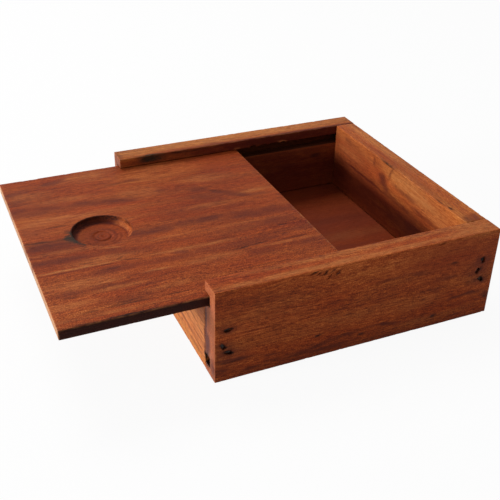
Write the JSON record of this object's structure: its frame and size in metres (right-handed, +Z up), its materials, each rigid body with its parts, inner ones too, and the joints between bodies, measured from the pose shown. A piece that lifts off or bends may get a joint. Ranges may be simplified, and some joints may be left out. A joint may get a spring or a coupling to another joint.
{
  "type": "sliding lid display box",
  "caption": "Small open-topped hardwood case for badges, with a lid that slides in side grooves and has a round finger recess.",
  "frame": {"origin": "on the standing plane, halfway across the box and halfway between the back face and the front edge of the drawn-out lid", "axes": "+X across the box to its right side wall, +Y to the closed back end, -Y the way the lid opens, +Z up"},
  "size_m": [0.1316, 0.1826, 0.0415],
  "materials": {
    "right_side_wood": "oiled hardwood, dark red-brown, open pores, satin",
    "left_side_wood": "oiled hardwood, red-brown, satin",
    "front_end_wood": "oiled hardwood, orange-brown with dark streaks, satin",
    "back_end_wood": "oiled hardwood, figured orange-brown with a pin knot, satin",
    "bottom_panel_wood": "oiled hardwood, dark red-brown, satin",
    "lid_wood": "oiled hardwood, red-brown with dark and golden streaks, satin",
    "nail_steel": "dark, dull"
  },
  "bodies": {
    "box": {"right_side_wall": "right_side_wood", "left_side_wall": "left_side_wood", "front_end_wall": "front_end_wood", "back_end_wall": "back_end_wood", "bottom_panel": "bottom_panel_wood", "right_front_nail_1": "nail_steel", "right_front_nail_2": "nail_steel", "right_front_nail_3": "nail_steel", "left_front_nail_1": "nail_steel", "left_front_nail_2": "nail_steel", "left_front_nail_3": "nail_steel", "right_back_nail_1": "nail_steel", "right_back_nail_2": "nail_steel", "right_back_nail_3": "nail_steel", "left_back_nail_1": "nail_steel", "left_back_nail_2": "nail_steel", "left_back_nail_3": "nail_steel"},
    "lid": {"sliding_lid": "lid_wood"}
  },
  "joints": [
    {"name": "lid_slide", "type": "slide", "parent": "box", "child": "lid", "axis": [0, -1, 0], "range_m": [-0.0564, 0.066]}
  ]
}
